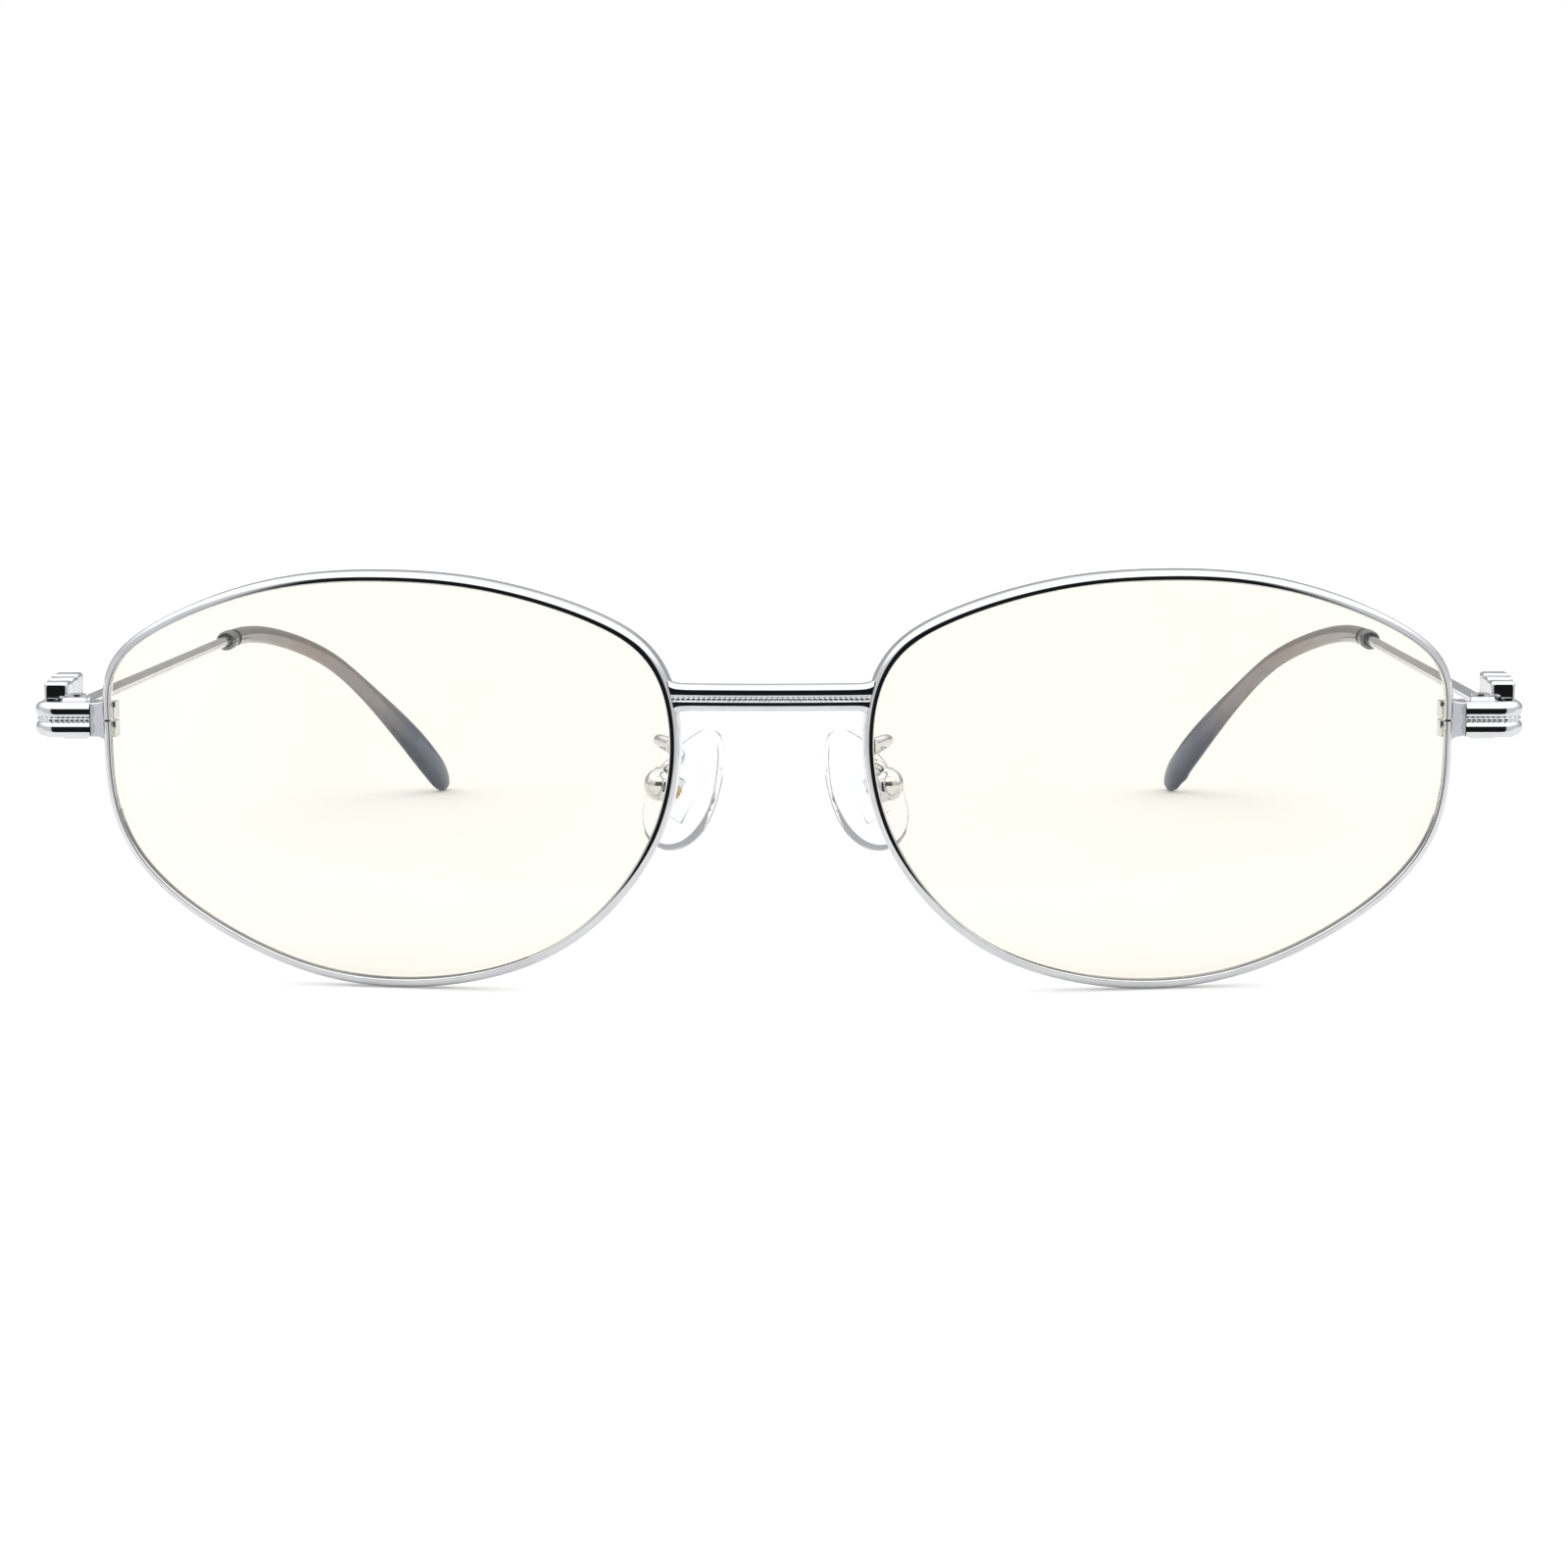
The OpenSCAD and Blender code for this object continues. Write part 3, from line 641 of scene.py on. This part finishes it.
def make_temple(side):
    mirror = side == "left"
    body = f"temple_arm_{side}"
    # stepped block: each step is wider and taller, with small chamfers, then a cone
    rings = []
    soft = 0.16
    step = BLOCK_LENGTH / 3
    for i in range(3):
        grow = 0.15 * i
        y0, y1 = BLOCK_Y + i * step, BLOCK_Y + (i + 1) * step
        last = i == 2
        if i == 0:
            nose = 0.42
            front = [(y0 + nose * (1 - math.cos(a)), nose * (1 - math.sin(a)))
                     for a in np.radians(np.linspace(12, 90, 8))]
        else:
            front = [(y0, soft), (y0 + 0.05, soft * 0.3), (y0 + soft, 0)]
        for y, inset in front + [(y1 - (soft if last else 0.02), 0), (y1, soft if last else 0.03)]:
            sect = rounded_rect(BLOCK_IN_X + inset, BLOCK_IN_X + BLOCK_W + grow - inset,
                                BLOCK_Z - BLOCK_H / 2 - grow + inset,
                                BLOCK_Z + BLOCK_H / 2 + grow - inset, 0.34)
            rings.append(np.stack([sect[:, 0], np.full(len(sect), y), sect[:, 1]], -1))
    cone = []
    for t in np.linspace(0, 1, 14):
        y = BLOCK_Y + BLOCK_LENGTH - 0.05 + 4.05 * t
        r = (BLOCK_W / 2 - 0.05) * (1 - t) ** 1.3 + (WIRE_R + 0.04) * (1 - (1 - t) ** 1.3)
        cone.append(cross_ring(np.array([WIRE_START[0], y, HINGE_Z]), np.array([0, 1.0, 0]),
                               r, r, (0, 0, 1), 32))
    piece(f"temple_block_visual_{side}", [skin(rings), skin(cone)], body,
          CHROME, [f"temple_block_{side}"], 50, mirror)

    start = WIRE_START - np.array([0, 0.3, 0])
    along = unit(COLLAR_AT - start)
    line = tip_line(DROP, 24)
    wire = [cross_ring(start + s * (COLLAR_AT - start), along, WIRE_R, WIRE_R, (0, 0, 1), 24)
            for s in np.linspace(0, 1, 12)]
    last = int((len(line) - 1) * CORE_SHARE)
    # the core is flattened towards its end, as wire cores are
    for i in range(14, last + 1, 3):
        s = (i - 14) / (last - 14)
        thin = WIRE_R * (1 - 0.25 * s)
        wide = WIRE_R * (1 + 0.35 * s)
        wire.append(cross_ring(line[i][0], line[i][1], thin, wide, (0, 0, 1), 24))
    piece(f"temple_wire_visual_{side}", [skin(wire)], body, CHROME,
          [f"temple_wire_{side}"], 50, mirror)

    # collar: a turned barrel with two fine grooves, open through its middle
    radius = TIP_HALF_T + 0.1
    profile = [(0.0, WIRE_R + 0.04), (0.0, radius - 0.2), (0.06, radius - 0.08), (0.2, radius),
               (0.5, radius), (0.56, radius - 0.1), (0.68, radius - 0.1), (0.74, radius),
               (1.86, radius), (1.92, radius - 0.1), (2.04, radius - 0.1), (2.1, radius),
               (2.4, radius), (2.54, radius - 0.08), (2.6, radius - 0.2), (2.6, WIRE_R + 0.04)]
    base = COLLAR_AT - 1.2 * along
    rings = [cross_ring(base + d * along, along, r, r, (0, 0, 1), 48) for d, r in profile]
    piece(f"temple_collar_visual_{side}", [skin(rings, closed=True)], body,
          COLLAR, [f"temple_collar_{side}"], 45, mirror)

    rings = tip_rings(line, 40)
    piece(f"temple_tip_visual_{side}", [skin(rings)], body, TIP,
          [f"temple_tip_{side}"], 60, mirror)


# ---- Nose pads -------------------------------------------------------------------------

PAD_HALF_T = 1.05
BOX_IN_X = PAD_HALF_T + 0.55
BOX_D = 2.0
DOME_R = 1.55
DOME_X = BOX_IN_X + BOX_D - 0.5


def arm_points():
    """Control points of the pad arm, from the rim round its loop to the box."""
    u, v = -RIM_HALF_W + HALF_WALL + 0.35, 3.7
    y = ball_y(u, v, 0) + RIM_DEPTH + 0.12
    start = on_front(lens_to_front(np.array(u), np.array(y), np.array(v)))
    up = unit((-0.35, -0.15, 1))
    end = pad_to_model((DOME_X, 0, 0)) + (DOME_R + 0.02) * up
    loop = [(10.2, 2.9, 4.1), (10.5, 4.5, 3.8), (9.6, 5.6, 3.1), (8.5, 5.3, 2.5), (8.4, 4.9, 1.8)]
    mid = [np.array([px, py - MID_DEPTH, LENS_Z + pz]) for px, py, pz in loop]
    return [start, start + np.array([0.1, 0.9, 0.1])] + mid + [end + 0.4 * up, end - 0.25 * up]


def make_pads(side):
    mirror = side == "left"
    line = open_spline(arm_points(), 14)
    steps = np.array([0.0] + [np.linalg.norm(b[0] - a[0]) for a, b in zip(line, line[1:])])
    run = np.cumsum(steps)
    rings = []
    for (at, along), s in zip(line, run):
        # solder fillets at both ends
        r = ARM_R + 0.26 * math.exp(-s / 0.3) + 0.2 * math.exp(-(run[-1] - s) / 0.3)
        rings.append(cross_ring(at, along, r, r, (0.5, -1, 0.4), 24))
    piece(f"pad_arm_visual_{side}", [skin(rings)], "front", CHROME,
          [f"pad_arm_{side}"], 60, mirror)

    # a pebble: drop-shaped outline, both faces gently domed, edges well rounded
    around = 96
    ang = np.arange(around) / around * TAU
    out_z = PAD_LENGTH / 2 * np.cos(ang)
    out_y = PAD_WIDTH / 2 / 1.035 * np.sin(ang) * (1 - 0.26 * np.cos(ang))
    square = 2 / 3.2
    rings = []
    for phi in np.linspace(0.06, math.pi - 0.06, 36):
        share = math.sin(phi) ** square
        x = math.copysign(abs(math.cos(phi)) ** square, math.cos(phi)) * PAD_HALF_T
        p = np.stack([np.full(around, x), share * out_y, 0.3 + share * out_z], -1)
        rings.append(pad_to_model(p))
    piece(f"nose_pad_visual_{side}", [skin(rings)], f"nose_pad_unit_{side}",
          PAD, [f"nose_pad_{side}"], 75, mirror)


# ---- Build ---------------------------------------------------------------------------

for which in SIDES:
    make_rim(which)
    make_lens(which)
    make_end_piece(which)
    make_temple(which)
    make_pads(which)
make_bridge()

# Small pieces keep the part's own mesh, with softened edges
KEPT = {
    "closing_block_upper": (CHROME, 0.10), "closing_block_lower": (CHROME, 0.10),
    "closing_screw": (STEEL, 0.05), "hinge_front": (CHROME, 0.12),
    "hinge_temple": (CHROME, 0.12), "hinge_screw": (STEEL, 0.06),
    "pad_box": (CHROME, 0.10), "pad_screw": (GOLD, 0.04), "pad_insert": (INSERT, 0.06)}
for base, (material, width) in KEPT.items():
    for which in SIDES:
        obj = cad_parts[f"{base}_{which}"]
        obj.data.materials.clear()
        obj.data.materials.append(material)
        weld = obj.modifiers.new("weld", "WELD")
        weld.merge_threshold = 0.001 * MM
        bevel = obj.modifiers.new("bevel", "BEVEL")
        bevel.width = width * MM
        bevel.segments = 3
        bevel.limit_method = "ANGLE"
        bevel.angle_limit = math.radians(38)
        bevel.harden_normals = False
        obj.data.polygons.foreach_set("use_smooth", [True] * len(obj.data.polygons))
        obj.data.set_sharp_from_angle(angle=math.radians(50))

# ---- Floor -----------------------------------------------------------------------------


SEEN_GLOW = 0.26            # floor emission seen by the camera
LENS_GLOW = 0.10            # and seen through a lens


def make_floor(name, x0, x1, y0, y1, glossy):
    verts = [(x0, y0, 0), (x1, y0, 0), (x1, y1, 0), (x0, y1, 0)]
    mesh = bpy.data.meshes.new(name)
    mesh.from_pydata(verts, [], [(0, 1, 2, 3)])
    obj = bpy.data.objects.new(name, mesh)
    bpy.context.scene.collection.objects.link(obj)
    mat, nt, bsdf = new_material(name)
    bsdf.inputs["Base Color"].default_value = (0.84, 0.835, 0.82, 1)
    bsdf.inputs["Emission Color"].default_value = (1, 1, 1, 1)
    path = nt.nodes.new("ShaderNodeLightPath")
    seen = nt.nodes.new("ShaderNodeMath")
    seen.operation = "ADD"
    for i, (ray, glow) in enumerate((("Camera", SEEN_GLOW), ("Transmission", LENS_GLOW))):
        strength = to_range(nt, path.outputs[f"Is {ray} Ray"], 0.0, glow, 0.0, 1.0)
        nt.links.new(strength, seen.inputs[i])
    nt.links.new(seen.outputs[0], bsdf.inputs["Emission Strength"])
    bsdf.inputs["Specular IOR Level"].default_value = 0.0
    nt.links.new(to_range(nt, noise(nt, 40, 3), 0.75, 0.95), bsdf.inputs["Roughness"])
    mesh.materials.append(mat)
    obj.visible_glossy = glossy
    return obj


FLOOR_EDGE = -0.085
make_floor("floor_near", -3, 3, FLOOR_EDGE, 6, True)
make_floor("floor_far", -3, 3, -3, FLOOR_EDGE, False)


# ---- Light -----------------------------------------------------------------------------

def make_world():
    """A white studio that is dark only where the camera stands, in front."""
    world = bpy.data.worlds.new("studio")
    bpy.context.scene.world = world
    world.use_nodes = True
    nt = world.node_tree
    nt.nodes.clear()
    coords = nt.nodes.new("ShaderNodeTexCoord")
    split = nt.nodes.new("ShaderNodeSeparateXYZ")
    nt.links.new(coords.outputs["Generated"], split.inputs["Vector"])

    def maths(op, a, b=None):
        node = nt.nodes.new("ShaderNodeMath")
        node.operation = op
        for i, value in enumerate((a, b)):
            if value is None:
                continue
            if isinstance(value, (int, float)):
                node.inputs[i].default_value = value
            else:
                nt.links.new(value, node.inputs[i])
        return node.outputs[0]

    def step(value, start, end, low, high):
        node = nt.nodes.new("ShaderNodeMapRange")
        node.interpolation_type = "SMOOTHSTEP"
        keys = ("From Min", "From Max", "To Min", "To Max")
        for key, number in zip(keys, (start, end, low, high)):
            node.inputs[key].default_value = number
        nt.links.new(value, node.inputs["Value"])
        return node.outputs[0]

    x, y, z = split.outputs
    azimuth = maths("ARCTAN2", maths("ABSOLUTE", x), maths("MULTIPLY", y, -1.0))
    height = maths("ARCSINE", z)
    rad = math.radians
    front = step(azimuth, rad(32), rad(44), 1.0, 0.0)
    below_top = step(height, rad(22), rad(32), 1.0, 0.0)
    above_floor = step(height, rad(-72), rad(-58), 0.0, 1.0)
    dark = maths("MULTIPLY", maths("MULTIPLY", front, below_top), above_floor)
    sides = step(azimuth, rad(90), rad(150), 0.70, 0.42)
    upper = step(height, rad(14), rad(40), 0.0, 1.0)
    lower = step(height, rad(-40), rad(-8), 1.0, 0.0)
    value = maths("ADD", sides, maths("MULTIPLY", upper, 0.8))
    value = maths("ADD", value, maths("MULTIPLY", lower, 0.05))
    value = maths("MULTIPLY", value, maths("SUBTRACT", 1.0, maths("MULTIPLY", dark, 0.985)))
    studio = nt.nodes.new("ShaderNodeBackground")
    nt.links.new(value, studio.inputs["Strength"])
    studio.inputs["Color"].default_value = (0.985, 0.99, 1.0, 1)
    plain = nt.nodes.new("ShaderNodeBackground")
    plain.inputs["Color"].default_value = (1, 1, 1, 1)
    path = nt.nodes.new("ShaderNodeLightPath")
    mix = nt.nodes.new("ShaderNodeMixShader")
    nt.links.new(path.outputs["Is Camera Ray"], mix.inputs["Fac"])
    nt.links.new(studio.outputs[0], mix.inputs[1])
    nt.links.new(plain.outputs[0], mix.inputs[2])
    out = nt.nodes.new("ShaderNodeOutputWorld")
    nt.links.new(mix.outputs[0], out.inputs["Surface"])


make_world()
bpy.context.scene.view_settings.view_transform = "Standard"

# ---- Camera ------------------------------------------------------------------------------

CAMERA_AT = Vector((9.52, -371.78, 59.48)) * MM
CAMERA_PITCH = math.radians(-7.555)
CAMERA_YAW = math.radians(1.60)
CAMERA_ROLL = math.radians(0.194)
turn = (Matrix.Rotation(CAMERA_YAW, 3, "Z") @ Matrix.Rotation(CAMERA_PITCH, 3, "X")
        @ Matrix.Rotation(CAMERA_ROLL, 3, "Y"))
right, forward, up = (turn.col[i] for i in range(3))
camera_data = bpy.data.cameras.new("camera")
camera_data.sensor_width = 36
camera_data.lens = 78.75
camera_data.clip_start = 0.01
camera = bpy.data.objects.new("camera", camera_data)
bpy.context.scene.collection.objects.link(camera)
facing = Matrix((right, up, -forward)).transposed().to_4x4()
camera.matrix_world = Matrix.Translation(CAMERA_AT) @ facing
bpy.context.scene.camera = camera
